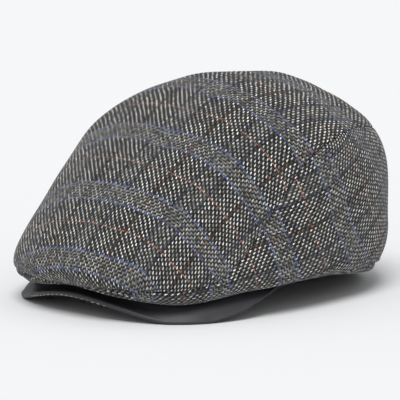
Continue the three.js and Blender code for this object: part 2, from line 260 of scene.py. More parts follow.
# Corners of the cell round a turn and climb, and the share of each. Rows of the grid reach up to the tops.
def cellShares(turn, climb, turns, ladders, tops, rows, rowSpan):
    columns = len(turns)
    columnPlace = (turn - turns[0]) / (turns[1] - turns[0])
    k = int(columnPlace)
    f = columnPlace - k
    length = np.interp(climb, ladder, ladders[k] * (1 - f) + ladders[k + 1] * f)
    rowPlace = length / (tops[k] * (1 - f) + tops[k + 1] * f) * rowSpan
    r = min(int(rowPlace), rows - 2)
    g = rowPlace - r
    corner = r * columns + k
    index = np.array([corner, corner + 1, corner + columns, corner + columns + 1])
    return index, np.array([(1 - g) * (1 - f), (1 - g) * f, g * (1 - f), g * f])


# Each mark holds the corners and shares of a place, an axis, its target there and a strength.
def layFlat(points, faces, start, marks, rounds=90, markWeight=3.0):
    corners = points[faces]
    edgeOne, edgeTwo = corners[:, 1] - corners[:, 0], corners[:, 2] - corners[:, 0]
    lengthOne = np.linalg.norm(edgeOne, axis=1)
    unitOne = edgeOne / lengthOne[:, None]
    along = (edgeTwo * unitOne).sum(1)
    aside = np.linalg.norm(edgeTwo - along[:, None] * unitOne, axis=1)
    flat = np.zeros((len(faces), 3, 2))
    flat[:, 1, 0] = lengthOne
    flat[:, 2, 0], flat[:, 2, 1] = along, aside
    count = len(points)
    stiffness = np.zeros((count, count))
    weights = np.zeros((len(faces), 3))
    sides = [(0, 1, 2), (1, 2, 0), (2, 0, 1)]  # a corner and the two ends of the side across from it
    for k, a, b in sides:
        toA, toB = flat[:, a] - flat[:, k], flat[:, b] - flat[:, k]
        cross = np.abs(toA[:, 0] * toB[:, 1] - toA[:, 1] * toB[:, 0])
        weights[:, k] = np.clip((toA * toB).sum(1) / np.maximum(cross, 1e-9), 0.02, 20)
        for p, q, sign in ((a, a, 1), (b, b, 1), (a, b, -1), (b, a, -1)):
            np.add.at(stiffness, (faces[:, p], faces[:, q]), sign * weights[:, k])
    solvers, pulls = [], []
    for axis in range(2):
        matrix = stiffness.copy()
        pull = np.zeros(count)
        for (index, share), markAxis, target, strength in marks:
            if markAxis != axis:
                continue
            weight = markWeight * strength
            matrix[np.ix_(index, index)] += weight * np.outer(share, share)
            pull[index] += weight * share * target
        matrix[np.arange(count), np.arange(count)] += 1e-7
        solvers.append(np.linalg.inv(matrix))
        pulls.append(pull)
    laid = start.copy()
    for _ in range(rounds):
        load = np.zeros((count, 2))
        spin = np.zeros((len(faces), 2, 2))
        for k, a, b in sides:
            now = laid[faces[:, a]] - laid[faces[:, b]]
            was = flat[:, a] - flat[:, b]
            spin += weights[:, k, None, None] * now[:, :, None] * was[:, None, :]
        angle = np.arctan2(spin[:, 1, 0] - spin[:, 0, 1], spin[:, 0, 0] + spin[:, 1, 1])
        c, s = np.cos(angle), np.sin(angle)
        for k, a, b in sides:
            was = (flat[:, a] - flat[:, b]) * weights[:, k, None]
            turned = np.stack([c * was[:, 0] - s * was[:, 1], s * was[:, 0] + c * was[:, 1]], 1)
            np.add.at(load, faces[:, a], turned)
            np.add.at(load, faces[:, b], -turned)
        laid = np.stack([solvers[axis] @ (load[:, axis] + pulls[axis]) for axis in range(2)], 1)
    return laid


check = {
    "yarns": 52,  # yarns in one repeat of the check
    "repeat": 43.8,  # length of one repeat
    "fineYarns": 15,  # yarns in the fine stripe, from one blue yarn to the next
    "rustYarn": 34,  # rust yarn, in the middle of the coarse stripe
}
fineHalf = check["repeat"] * (check["fineYarns"] - 1) / check["yarns"] / 2
halfRepeat = check["repeat"] / 2

# Places picked in the photograph and laid back on the crown. Where two fine stripes cross on the top
# panel, as turn, climb, stripe across and stripe along.
topMarks = [
    (3, 0.293, 0, 0), (10, 0.517, 0, 1), (21, 0.673, 0, 2), (42, 0.837, 0, 3),
    (28, 0.31, 1, 0), (39, 0.477, 1, 1), (52, 0.607, 1, 2), (73, 0.727, 1, 3),
]
# Coloured yarns up the left side panel, as turn, climb and place across the check.
sideMarks = [
    (62, 0.413, -fineHalf), (65, 0.207, -fineHalf), (68, 0.443, fineHalf), (73, 0.207, fineHalf),
    (76, 0.44, halfRepeat), (84, 0.14, halfRepeat),
    (86, 0.423, check["repeat"] - fineHalf), (97, 0.057, check["repeat"] - fineHalf),
    (94, 0.413, check["repeat"] + fineHalf), (108, 0.18, check["repeat"] + fineHalf),
    (108, 0.377, check["repeat"] + halfRepeat), (120, 0.233, check["repeat"] + halfRepeat),
    (82, 0.597, check["repeat"] - fineHalf), (88, 0.52, check["repeat"] - fineHalf),
    (91, 0.623, check["repeat"] + fineHalf),
]


# Top panel: a disc round the hub. Returns a function from turn and length to the flat pattern.
def topPattern():
    columns, rows = 60, 26
    turns = np.arange(columns) * 360 / columns - 180
    ladders = clothLadder(turns)
    whole = ladders[:, -1]
    lengths = (np.arange(rows) / rows)[:, None] * whole  # from the hem towards the hub
    points = smoothCrown(turns, climbsAt(lengths.T, ladders).T).reshape(-1, 3)
    points = np.concatenate([points, smoothCrown([0.0], [1.0])])
    hub = rows * columns
    faces = cellFaces(rows, columns, True)
    faces += [(hub - columns + k, hub - columns + (k + 1) % columns, hub) for k in range(columns)]
    angle = np.radians(turns)
    out = whole - lengths
    start = np.stack([out * np.sin(angle), -out * np.cos(angle)], -1).reshape(-1, 2)
    start = np.concatenate([start, [[0, 0]]])
    marks = []
    for turn, climb, across, along in topMarks:
        corners = cellShares(turn, climb, turns, ladders, whole, rows, rows)
        marks.append((corners, 0, across * check["repeat"], 1))
        marks.append((corners, 1, along * check["repeat"], 1))
    laid = layFlat(points, np.array(faces), start, marks)
    pattern = laid[:-1].reshape(rows, columns, 2)
    # rows past the hub repeat the ones across it, so that the pattern runs smoothly over the top
    beyond = [np.broadcast_to(laid[-1], (columns, 2)), np.roll(pattern[-1], columns // 2, axis=0)]
    overHub = np.concatenate([pattern, np.array(beyond)])

    def place(turn, length, wholeLength):
        return spreadValues(overHub, length / wholeLength * rows, (turn + 180) / 360 * columns, True)
    return place


# Side panel: a long strip. Its pattern runs from the hem to a little past the seam.
sideStrip = {
    "start": 3.0,  # turn at which the pattern begins
    "spread": 6.0,  # how far it runs past the seam
    "least": 3.0,  # height that it has at least, without the spread
    "middle": 0.3,  # climb along which its length is taken
    "weftRow": 8, "weft": 24.0, "weftStrength": 0.2,  # weak mark that holds the weft's place
}


def sideTops(turns, ladders):
    return np.maximum(lengthToSeam(turns, ladders), sideStrip["least"]) + sideStrip["spread"]


def sidePattern():
    columns, rows = 61, 16
    turns = np.linspace(sideStrip["start"], 180, columns)
    ladders = clothLadder(turns)
    tops = sideTops(turns, ladders)
    lengths = np.linspace(0, 1, rows)[:, None] * tops
    points = smoothCrown(turns, climbsAt(lengths.T, ladders).T).reshape(-1, 3)
    middle = smoothCrown(turns, sideStrip["middle"])
    along = np.concatenate([[0], np.cumsum(np.linalg.norm(np.diff(middle, axis=0), axis=1))])
    start = np.stack(np.broadcast_arrays(along - 100, lengths), -1).reshape(-1, 2)
    marks = []
    for turn, climb, across in sideMarks:
        marks.append((cellShares(turn, climb, turns, ladders, tops, rows, rows - 1), 0, across, 1))
    weftPoint = np.array([columns * sideStrip["weftRow"] + columns // 2])
    marks.append(((weftPoint, np.array([1.0])), 1, sideStrip["weft"], sideStrip["weftStrength"]))
    faces = np.array(cellFaces(rows, columns, False))
    laid = layFlat(points, faces, start, marks).reshape(rows, columns, 2)

    def place(turn, length, topLength):
        columnPlace = (turn - sideStrip["start"]) / (180 - sideStrip["start"]) * (columns - 1)
        return spreadValues(laid, length / topLength * (rows - 1), columnPlace, False)
    return place


# Meshes

def toFrame(points):
    return (np.asarray(points) + [0, crown["shift"], 0]) * metre


def newObject(name, data):
    made = bpy.data.objects.new(name, data)
    bpy.context.scene.collection.objects.link(made)
    return made


def makeMesh(name, points, faces, pattern=None):
    mesh = bpy.data.meshes.new(name)
    mesh.from_pydata(toFrame(points).tolist(), [], faces)
    if pattern is not None:
        layer = mesh.uv_layers.new(name="clothPattern")
        corner = np.empty(len(mesh.loops), np.int32)
        mesh.loops.foreach_get("vertex_index", corner)
        layer.data.foreach_set("uv", (pattern[corner] * patternScale).astype(np.float32).ravel())
    mesh.validate()
    mesh.shade_smooth()
    return newObject(name, mesh)


# Faces of a sweep, each loop its outer points and then its inner ones. It is a ring or has closed ends.
def sweepFaces(loops, size, ring):
    faces = []
    for k in range(loops if ring else loops - 1):
        near, far = k * size, ((k + 1) % loops) * size
        for c in range(size):
            d = (c + 1) % size
            faces.append((near + c, far + c, far + d, near + d))
    if not ring:
        ends = [(c, c + 1, size - 2 - c, size - 1 - c) for c in range(size // 2 - 1)]
        last = (loops - 1) * size
        faces += ends + [tuple(last + corner for corner in quad[::-1]) for quad in ends]
    return faces


def sweptPiece(name, loops, pattern=None, flipped=False):
    loops = np.array(loops)
    faces = sweepFaces(loops.shape[0], loops.shape[1], False)
    if flipped:
        faces = [face[::-1] for face in faces]
    if pattern is not None:
        pattern = pattern.reshape(-1, 2)
    return makeMesh(name, loops.reshape(-1, 3), faces, pattern)


cloth = {
    "wall": 2.0,
    "seamGap": 0.3,
    "hemRoll": 1.7,  # radius of the turned hem
    "seamRoll": 0.5,  # radius of the cloth's edge in a seam
    "hemReach": 5.0,  # height over which the doubled hem thins out
    "tipTurn": 4.0,  # turn at which the side panels' strips begin in front
    "tipHeight": 0.9, "tipLength": 14,  # height of a strip's tip, and degrees over which it grows
}


# Cloth lengths and depths down one column, from the low edge to the high one: outer face, then inner.
def columnOutline(low, high, lowRoll, highRoll, rows, arcs=5, wall=cloth["wall"]):
    quarter = (np.arange(arcs) + 0.5) / arcs * np.pi / 2
    start, end = low + lowRoll, high - highRoll
    middle = np.linspace(start, end, rows)
    outer = [(low + lowRoll - lowRoll * np.cos(t), lowRoll - lowRoll * np.sin(t)) for t in quarter]
    outer += [(length, 0.0) for length in middle]
    inner = [(length, 2 * lowRoll - depth) for length, depth in outer[:arcs]]
    for length in middle:
        doubled = math.exp(-((length - start) / cloth["hemReach"]) ** 2)
        inner.append((length, wall + (2 * lowRoll - wall) * doubled))
    if highRoll > 0:
        cap = [(high - highRoll + highRoll * np.sin(t), highRoll - highRoll * np.cos(t)) for t in quarter]
        outer += cap
        inner += [(length, 2 * highRoll - depth) for length, depth in cap]
    return np.array(outer), np.array(inner)


# Lengths and depths of a panel's loops, one row for each column.
def clothLoops(outlines):
    loops = np.array([np.concatenate([outer, inner[::-1]]) for outer, inner in outlines])
    return loops[..., 0], loops[..., 1]


# Cloth above the hem at which the seam lies; the strip in front thins towards its tip.
def seamLengths(turns, ladders):
    seam = lengthToSeam(turns, ladders)
    share = np.clip((fromFront(turns) - cloth["tipTurn"]) / cloth["tipLength"], 0, 1)
    share = share * share * (3 - 2 * share)
    return cloth["tipHeight"] + (seam - cloth["tipHeight"]) * share


# Points of the cloth at some lengths up from the hem and depths under its outer face.
def bentCloth(turns, lengths, depths, ladders, seam):
    climbs = climbsAt(lengths, ladders)
    angles = np.asarray(turns, float)[:, None] + 0 * climbs
    base = smoothCrown(angles, climbs)
    depth = depths + drawnIn(angles, lengths, lengths - seam[:, None], base)
    return base - crownNormal(angles, climbs) * depth[..., None]


def makeTopPanel(columns=420, rows=112):
    step = 360 / columns
    turns = (np.arange(columns) + 0.5) * step - 180
    ladders = clothLadder(turns)
    seam = seamLengths(turns, ladders)
    whole = ladders[:, -1]
    inFront = np.abs(turns) < cloth["tipTurn"]
    outlines = []
    for k in range(columns):
        low = 0.0 if inFront[k] else seam[k] + cloth["seamGap"] / 2
        roll = cloth["hemRoll"] if inFront[k] else cloth["seamRoll"]
        outlines.append(columnOutline(low, whole[k] * (1 - 1 / rows), roll, 0, rows))
    lengths, depths = clothLoops(outlines)
    farAway = -20.0  # in front the panel ends in the hem, so no seam draws it in
    points = bentCloth(turns, lengths, depths, ladders, np.where(inFront, farAway, seam))
    size = lengths.shape[1]
    place = topPattern()
    pattern = place(turns[:, None] + 0 * lengths, lengths, whole[:, None])
    hubOut = smoothCrown([0.0], [1.0])
    hubDepth = relief["unevenness"] * waves(hubOut)[:, None] * [0, 0, 1]
    hubIn = hubOut - [0, 0, cloth["wall"]]
    allPoints = np.concatenate([points.reshape(-1, 3), hubOut - hubDepth, hubIn - hubDepth])
    hubPattern = place(np.array([0.0]), np.array([1.0]), np.array([1.0]))
    allPattern = np.concatenate([pattern.reshape(-1, 2), hubPattern, hubPattern])
    hub, inside, half = columns * size, columns * size + 1, size // 2
    # the loops stay open at the hub, where two fans close the outer and the inner face
    faces = [face for face in sweepFaces(columns, size, True) if face[0] % size != half - 1]
    for k in range(columns):
        near, far = k * size, ((k + 1) % columns) * size
        faces.append((near + half - 1, far + half - 1, hub))
        faces.append((near + half, inside, far + half))
    return makeMesh("tweedTop", allPoints, faces, allPattern)


def makeSidePanel(name, hand, place, columns=330, rows=52):
    backReach = crown["length"] / 2 - crown["hubSetback"]
    gap = math.degrees(cloth["seamGap"] / 2 / backReach)
    turns = np.linspace(cloth["tipTurn"], 180 - gap, columns)
    ladders = clothLadder(turns)
    seam = seamLengths(turns, ladders)
    outlines = []
    for high in seam - cloth["seamGap"] / 2:
        hem, roll = (min(cloth[radius], 0.45 * high) for radius in ("hemRoll", "seamRoll"))
        outlines.append(columnOutline(0.0, high, hem, roll, rows))
    lengths, depths = clothLoops(outlines)
    points = bentCloth(hand * turns, lengths, depths, ladders, seam)
    # the seam down the middle of the back is drawn in too
    fromBack = (180 - turns)[:, None] * math.radians(backReach)
    nearBack = np.exp(-(fromBack / relief["seamReach"]) ** 2)
    points[..., 1] -= relief["backSeamSink"] * nearBack * np.clip(lengths / relief["plainHem"], 0, 1)
    pattern = place(turns[:, None] + 0 * lengths, lengths, sideTops(turns, ladders)[:, None])
    pattern = pattern[..., ::-1] * [-hand, 1]  # cut with the weft upright
    return sweptPiece(name, points, pattern, hand < 0)


# Peak

peak = {
    "depth": 38.0, "endDepth": 7.0,  # front edge back to the forehead, and the same at the ends
    "end": 68.0,  # turn it ends at
    "overhang": 6.0, "drop": 10.0, "rise": 6.0,
    "leather": 1.4, "beadHeight": 3.2, "beadEndHeight": 1.5, "beadWidth": 2.6,
    "clear": 0.1,  # height of the leather's turned edge over the floor
    "lip": 0.9, "lipDrop": 0.2,  # how far the leather stands out and hangs past the sections
    "recess": 9.0,  # how much further back the leather meets the cloth than the hem's wall
    "frontSpread": 30.0,  # turn at which the rolled rim and the recess have mostly melted away
    "underWall": 1.1, "underLift": 0.4, "underEnd": 60.0, "gap": 0.3,
}
peakSections = np.array([
    # turn, out, drop
    [0, 0, 0.67], [16, 0.08, 0.64], [31, 0.45, 0.92], [44, 0.95, 1.15], [56, 0.85, 0.95],
    [63, 0.5, 0.42], [68, 0.1, 0.02], [73, -0.2, -0.3],
])


def frontShare(turn):
    return math.exp(-(turn / peak["frontSpread"]) ** 4)


def peakAt(turn):
    across, along = planLength(turn)
    plan = math.hypot(across, along)
    section = smoothTable(crownSections, turn)
    out, drop = smoothTable(peakSections, turn)
    hem = section[0] * plan
    height = float(hemHeight(turn))
    share = (abs(turn) / peak["end"]) ** 2
    edge = hem + peak["overhang"] * out + peak["lip"]
    low = max(height - peak["drop"] * drop - peak["lipDrop"], peak["clear"])
    bead = peak["beadHeight"] + (peak["beadEndHeight"] - peak["beadHeight"]) * share
    depth = peak["depth"] + (peak["endDepth"] - peak["depth"]) * share
    recess = peak["recess"] * frontShare(turn)
    seat = (hem - cloth["wall"] - peak["gap"] - recess, height - peak["gap"])
    inner = (edge - depth, seat[1] + peak["rise"] * (1 - share))
    return plan, edge, low, bead, seat, inner


# Smooth line through a few points, by cutting corners.
def softened(line, times=3):
    line = np.asarray(line, float)
    for _ in range(times):
        quarter = line[:-1] * 0.75 + line[1:] * 0.25
        threeQuarter = line[:-1] * 0.25 + line[1:] * 0.75
        line = np.concatenate([line[:1], np.stack([quarter, threeQuarter], 1).reshape(-1, 2), line[-1:]])
    return line


# Same line with evenly placed points.
def evened(line, count):
    lengths = np.concatenate([[0], np.cumsum(np.linalg.norm(np.diff(line, axis=0), axis=1))])
    places = np.linspace(0, lengths[-1], count)
    return np.stack([np.interp(places, lengths, line[:, axis]) for axis in range(2)], 1)


def sectionToSpace(turn, plan, line):
    across, along = planLength(turn)
    reach = line[:, 0] / plan
    return np.stack([across * reach, crown["hubSetback"] + along * reach, line[:, 1]], 1)


# Top face of the leather at a turn, from the turned edge below up the rim and in under the cloth.
def coverLine(turn, count):
    plan, edge, low, bead, seat, inner = peakAt(turn)
    width = peak["beadWidth"]
    front = frontShare(turn)
    rim = bead * (0.8 + 0.2 * front)
    line = [(edge - width, low), (edge - 0.3 * width, low), (edge, low + 0.3 * rim),
            (edge, low + 0.7 * rim), (edge - 0.3 * width, low + rim)]
    back = line[-1]
    reach, rise = seat[0] - back[0], seat[1] - back[1]
    # a level shelf behind the rim in front, a plain slope at the lobes
    shelf = [(back[0] + 0.25 * reach, back[1] - 0.5), (back[0] + 0.75 * reach, back[1] + 0.05 * rise)]
    face = [(back[0] + 0.3 * reach, back[1] + 0.42 * rise), (back[0] + 0.7 * reach, back[1] + 0.82 * rise)]
    line += [tuple(front * np.array(a) + (1 - front) * np.array(b)) for a, b in zip(shelf, face)]
    line += [seat, ((seat[0] + inner[0]) / 2, (seat[1] + inner[1]) / 2), inner]
    return plan, evened(softened(line), count)


def makePeakCover(columns=240, count=40):
    loops = []
    for turn in np.linspace(-peak["end"], peak["end"], columns):
        plan, top = coverLine(turn, count)
        tangent = unit(np.gradient(top, axis=0))
        under = top + np.stack([-tangent[:, 1], tangent[:, 0]], 1) * peak["leather"]
        under[:, 1] = np.clip(under[:, 1], peak["clear"], np.maximum(top[:, 1], peak["clear"]))
        under[:4] = (top[:4] + under[:4]) / 2
        loops.append(sectionToSpace(turn, plan, np.concatenate([top, under[::-1]])))
    return sweptPiece("peakCover", loops)


def makePeakLining(columns=200, count=16):
    loops = []
    shares = np.linspace(0, 1, count)[:, None]
    for turn in np.linspace(-peak["underEnd"], peak["underEnd"], columns):
        plan, edge, low, _, _, inner = peakAt(turn)
        front = np.array([edge - peak["beadWidth"] - peak["leather"] - peak["gap"], low + peak["underLift"]])
        back = np.array([inner[0], inner[1] - peak["leather"] - peak["gap"] - peak["underWall"]])
        bottom = front * (1 - shares) + back * shares
        top = bottom + [0, peak["underWall"]]
        loops.append(sectionToSpace(turn, plan, np.concatenate([top, bottom[::-1]])))
    return sweptPiece("peakLining", loops)


# Short calls that add a node to a tree and join its inputs.
class Tree:
    def __init__(self, nodeTree):
        self.nodes, self.links = nodeTree.nodes, nodeTree.links

    def put(self, socket, value):
        if isinstance(value, bpy.types.NodeSocket):
            self.links.new(value, socket)
        elif value is not None:
            socket.default_value = value

    def add(self, kind, inputs=None, **settings):
        node = self.nodes.new(kind)
        for key, value in settings.items():
            setattr(node, key, value)
        for key, value in (inputs or {}).items():
            self.put(node.inputs[key], value)
        return node

    def math(self, operation, first, second=None):
        inputs = {0: first, 1: second}
        return self.add("ShaderNodeMath", inputs, operation=operation).outputs[0]

    def plus(self, first, second):
        return self.math("ADD", first, second)

    def minus(self, first, second):
        return self.math("SUBTRACT", first, second)

    def times(self, first, second):
        return self.math("MULTIPLY", first, second)

    def isAbove(self, value, limit):
        return self.math("GREATER_THAN", value, limit)

    def isBelow(self, value, limit):
        return self.math("LESS_THAN", value, limit)

    def isNear(self, value, number):
        return self.times(self.isAbove(value, number - 0.5), self.isBelow(value, number + 0.5))

    # rest after whole steps
    def rest(self, value, step):
        return self.math("FLOORED_MODULO", value, step)

    def wholes(self, value, step):
        return self.math("FLOOR", self.math("DIVIDE", value, step))

    def vector(self, operation, inputs):
        return self.add("ShaderNodeVectorMath", inputs, operation=operation).outputs[0]

    def joined(self, x, y, z):
        return self.add("ShaderNodeCombineXYZ", {0: x, 1: y, 2: z}).outputs[0]

    def mix(self, share, first, second, blend="MIX"):
        inputs = {"Factor": share, 6: first, 7: second}
        return self.add("ShaderNodeMix", inputs, data_type="RGBA", blend_type=blend).outputs[2]

    # chooses one of two values by a share of 0 or 1
    def chosen(self, share, ifOne, ifZero):
        return self.plus(self.times(share, ifOne), self.times(self.minus(1.0, share), ifZero))

    def chance(self, seed):
        return self.add("ShaderNodeTexWhiteNoise", {0: seed}).outputs["Value"]

    def noise(self, place, scale, detail):
        return self.add("ShaderNodeTexNoise", {"Vector": place, "Scale": scale, "Detail": detail}).outputs


# Stitches along the low edge of the leather in front

stitch = {
    "from": -24.0, "to": 15.0, "spacing": 4.0, "length": 2.0, "thickness": 0.5, "uneven": 0.75, "seed": 5,
    "rise": -0.85, "waver": 0.2,  # height of the row over the middle of the rim, and how it wavers
    "colour": (0.72, 0.72, 0.66, 1),
}


def stitchNodes():
    group = bpy.data.node_groups.new("stitchRow", "GeometryNodeTree")
    kinds = {"Geometry": "Geometry", "Spacing": "Float", "Length": "Float", "Thickness": "Float",
             "Uneven": "Float", "Seed": "Int", "Material": "Material"}
    for name, kind in kinds.items():
        group.interface.new_socket(name, in_out="INPUT", socket_type="NodeSocket" + kind)
    group.interface.new_socket("Geometry", in_out="OUTPUT", socket_type="NodeSocketGeometry")
    tree = Tree(group)
    given = tree.add("NodeGroupInput").outputs
    path = tree.add("GeometryNodeMeshToCurve", {0: given["Geometry"]}).outputs[0]
    inputs = {"Curve": path, "Length": given["Spacing"]}
    spaced = tree.add("GeometryNodeResampleCurve", inputs, mode="LENGTH")
    bead = tree.add("GeometryNodeMeshIcoSphere", {"Radius": 0.5, "Subdivisions": 2})
    tangent = tree.add("GeometryNodeInputTangent").outputs[0]
    turned = tree.add("FunctionNodeAlignRotationToVector", {"Vector": tangent}, axis="X")
    # random length of each stitch
    least = tree.minus(1.0, given["Uneven"])
    share = tree.add("FunctionNodeRandomValue", {2: least, "Seed": given["Seed"]}, data_type="FLOAT")
    length = tree.times(given["Length"], share.outputs[1])
    placed = tree.add("GeometryNodeInstanceOnPoints", {
        "Points": spaced.outputs[0], "Instance": bead.outputs["Mesh"], "Rotation": turned.outputs[0],
        "Scale": tree.joined(length, given["Thickness"], given["Thickness"]),
    })
    real = tree.add("GeometryNodeRealizeInstances", {0: placed.outputs[0]}).outputs[0]
    dressed = tree.add("GeometryNodeSetMaterial", {"Geometry": real, "Material": given["Material"]})
    tree.add("NodeGroupOutput", {0: dressed.outputs[0]})
    return group


# Result of a piece's modifiers as a plain mesh.
def settled(piece):
    bpy.context.view_layer.update()
    evaluated = piece.evaluated_get(bpy.context.evaluated_depsgraph_get())
    mesh = bpy.data.meshes.new_from_object(evaluated)
    piece.modifiers.clear()
    piece.data = mesh
    mesh.shade_smooth()
    return piece


def makeStitches(material):
    points = []
    for turn in np.linspace(stitch["from"], stitch["to"], 90):
        plan, line = coverLine(turn, 400)
        outermost = int(np.argmax(line[:, 0]))
        rise = stitch["rise"] + stitch["waver"] * math.sin(turn * 2.3)
        onFace = np.array([[line[outermost, 0], line[outermost, 1] + rise]])
        points.append(sectionToSpace(turn, plan, onFace)[0])
    mesh = bpy.data.meshes.new("peakStitches")
    mesh.from_pydata(toFrame(points).tolist(), [(k, k + 1) for k in range(len(points) - 1)], [])
    piece = newObject("peakStitches", mesh)
    group = stitchNodes()
    modifier = piece.modifiers.new("stitchRow", "NODES")
    modifier.node_group = group
    values = {
        "Spacing": stitch["spacing"] * metre, "Length": stitch["length"] * metre,
        "Thickness": stitch["thickness"] * metre, "Uneven": stitch["uneven"], "Seed": stitch["seed"],
        "Material": material,
    }
    for socket in group.interface.items_tree:
        if socket.in_out == "INPUT" and socket.name in values:
            modifier[socket.identifier] = values[socket.name]
    return settled(piece)


# Ear flap folded up inside the hem

flap = {
    "wall": 2.4, "height": 46.0, "lift": 4.0, "start": 80.0, "gap": 0.5,
    "most": 0.86,  # share of the side panel's height that it takes at most
    "ribs": 118, "ribDepth": 0.45, "patternLength": 330,
}


def makeEarFlap(columns=710, rows=18, arcs=4):
    turns = np.linspace(flap["start"], 360 - flap["start"], columns)
    ladders = clothLadder(turns)
    seam = seamLengths(turns, ladders)
    ribs = 0.5 + 0.5 * np.cos(np.linspace(0, flap["ribs"] * 2 * np.pi, columns))
    half = flap["wall"] / 2
    outlines = []
    for k in range(columns):
        high = min(flap["lift"] + flap["height"], flap["most"] * seam[k])
        outer, inner = columnOutline(flap["lift"], high, half, half, rows, arcs, flap["wall"])
        inner[:, 1] -= flap["ribDepth"] * ribs[k]
        outlines.append((outer, inner))
    lengths, depths = clothLoops(outlines)
    hem = (2 * cloth["hemRoll"] - cloth["wall"]) * np.exp(-(lengths / cloth["hemReach"]) ** 2)
    depths = depths + cloth["wall"] + flap["gap"] + np.maximum(hem, 0)
    points = bentCloth(turns, lengths, depths, ladders, seam)
    along = np.linspace(0, flap["patternLength"], columns)[:, None] + 0 * lengths
    return sweptPiece("earFlap", points, np.stack([along, lengths], -1))


# Materials

class Material(Tree):
    def __init__(self, name):
        self.material = bpy.data.materials.new(name)
        self.material.use_nodes = True
        super().__init__(self.material.node_tree)
        self.shader = next(node for node in self.nodes if node.type == "BSDF_PRINCIPLED")

    def bump(self, height, strength, distance):
        inputs = {"Height": height, "Strength": strength, "Distance": distance}
        self.put(self.shader.inputs["Normal"], self.add("ShaderNodeBump", inputs).outputs[0])

    def finished(self, inputs):
        for name, value in inputs.items():
            self.put(self.shader.inputs[name], value)
        return self.material


tweed = {
    "light": (0.95, 0.93, 0.88, 1), "dark": (0.050, 0.050, 0.049, 1),  # coarse stripe
    "palerGrey": (0.74, 0.73, 0.69, 1), "darkerGrey": (0.13, 0.128, 0.124, 1),  # warp of the fine stripe
    "weftGrey": (0.30, 0.297, 0.286, 1),  # weft of the fine stripe
    "blue": (0.09, 0.17, 0.55, 1), "rust": (0.46, 0.17, 0.10, 1),
    "faintBlue": (0.22, 0.24, 0.34, 1), "faintRust": (0.36, 0.19, 0.13, 1),  # the same in the warp
    "fineRowShade": 0.68,  # light warp yarns where they cross the fine stripe of the weft
    "lightWidth": 0.88,  # width of a light warp yarn, of the two that it shares with a dark one
    "lean": -0.48, "fineLean": -0.1,  # slant of a warp float in the coarse stripe and the fine one
    "weftRidge": 0.62,  # height of a weft yarn's ridge, beside 1 for the warp's; a lower ridge also gets more painted shade in its colour
    "unevenYarn": 0.95,  # how much one float of yarn differs from the next
    "wander": 0.9, "wanderScale": 0.09, "smallWander": 0.16, "smallScale": 0.8,  # how yarns stray
    "fleck": 1.8, "fleckScale": 0.7,  # light and dark flecks in the yarn
    "roughness": 0.95, "sheen": 0.1, "gloss": 0.2, "bump": 0.6, "bumpDepth": 0.0003,
}
twillSteps = 4.0  # two yarns over and two under


# Round section of a yarn from its place across, 0 to 1.
def halfWave(tree, part):
    off = tree.times(tree.minus(part, 0.5), 2.0)
    return tree.math("SQRT", tree.math("MAXIMUM", tree.minus(1.0, tree.times(off, off)), 0.0))


# Whether a yarn lies in the fine stripe of the check, is coloured or is the second of its pair.
def yarnPlace(tree, number):
    place = tree.rest(number, float(check["yarns"]))
    fine = tree.isBelow(place, check["fineYarns"] - 0.5)
    blue = tree.math("MAXIMUM", tree.isBelow(place, 0.5), tree.isNear(place, check["fineYarns"] - 1))
    rust = tree.isNear(place, check["rustYarn"])
    return fine, blue, rust, tree.isAbove(tree.rest(number, 2.0), 0.5)


def warpColour(tree, number, fineRow):
    fine, blue, rust, odd = yarnPlace(tree, number)
    share = tree.minus(1.0, tree.times(fineRow, 1 - tweed["fineRowShade"]))
    light = tree.mix(fine, tweed["light"], tweed["palerGrey"])
    light = tree.mix(1.0, light, tree.joined(share, share, share), "MULTIPLY")
    colour = tree.mix(odd, light, tree.mix(fine, tweed["dark"], tweed["darkerGrey"]))
    return tree.mix(rust, tree.mix(blue, colour, tweed["faintBlue"]), tweed["faintRust"])


def weftColour(tree, number):
    fine, blue, rust, odd = yarnPlace(tree, number)
    colour = tree.mix(fine, tweed["dark"], tree.mix(odd, tweed["dark"], tweed["weftGrey"]))
    return tree.mix(rust, tree.mix(blue, colour, tweed["blue"]), tweed["rust"])


def strayed(tree, yarns, scale, amount):
    noise = tree.noise(yarns, scale, 1.0)["Color"]
    centred = tree.vector("SUBTRACT", {0: noise, 1: (0.5, 0.5, 0.5)})
    return tree.vector("SCALE", {0: centred, "Scale": 2 * amount})


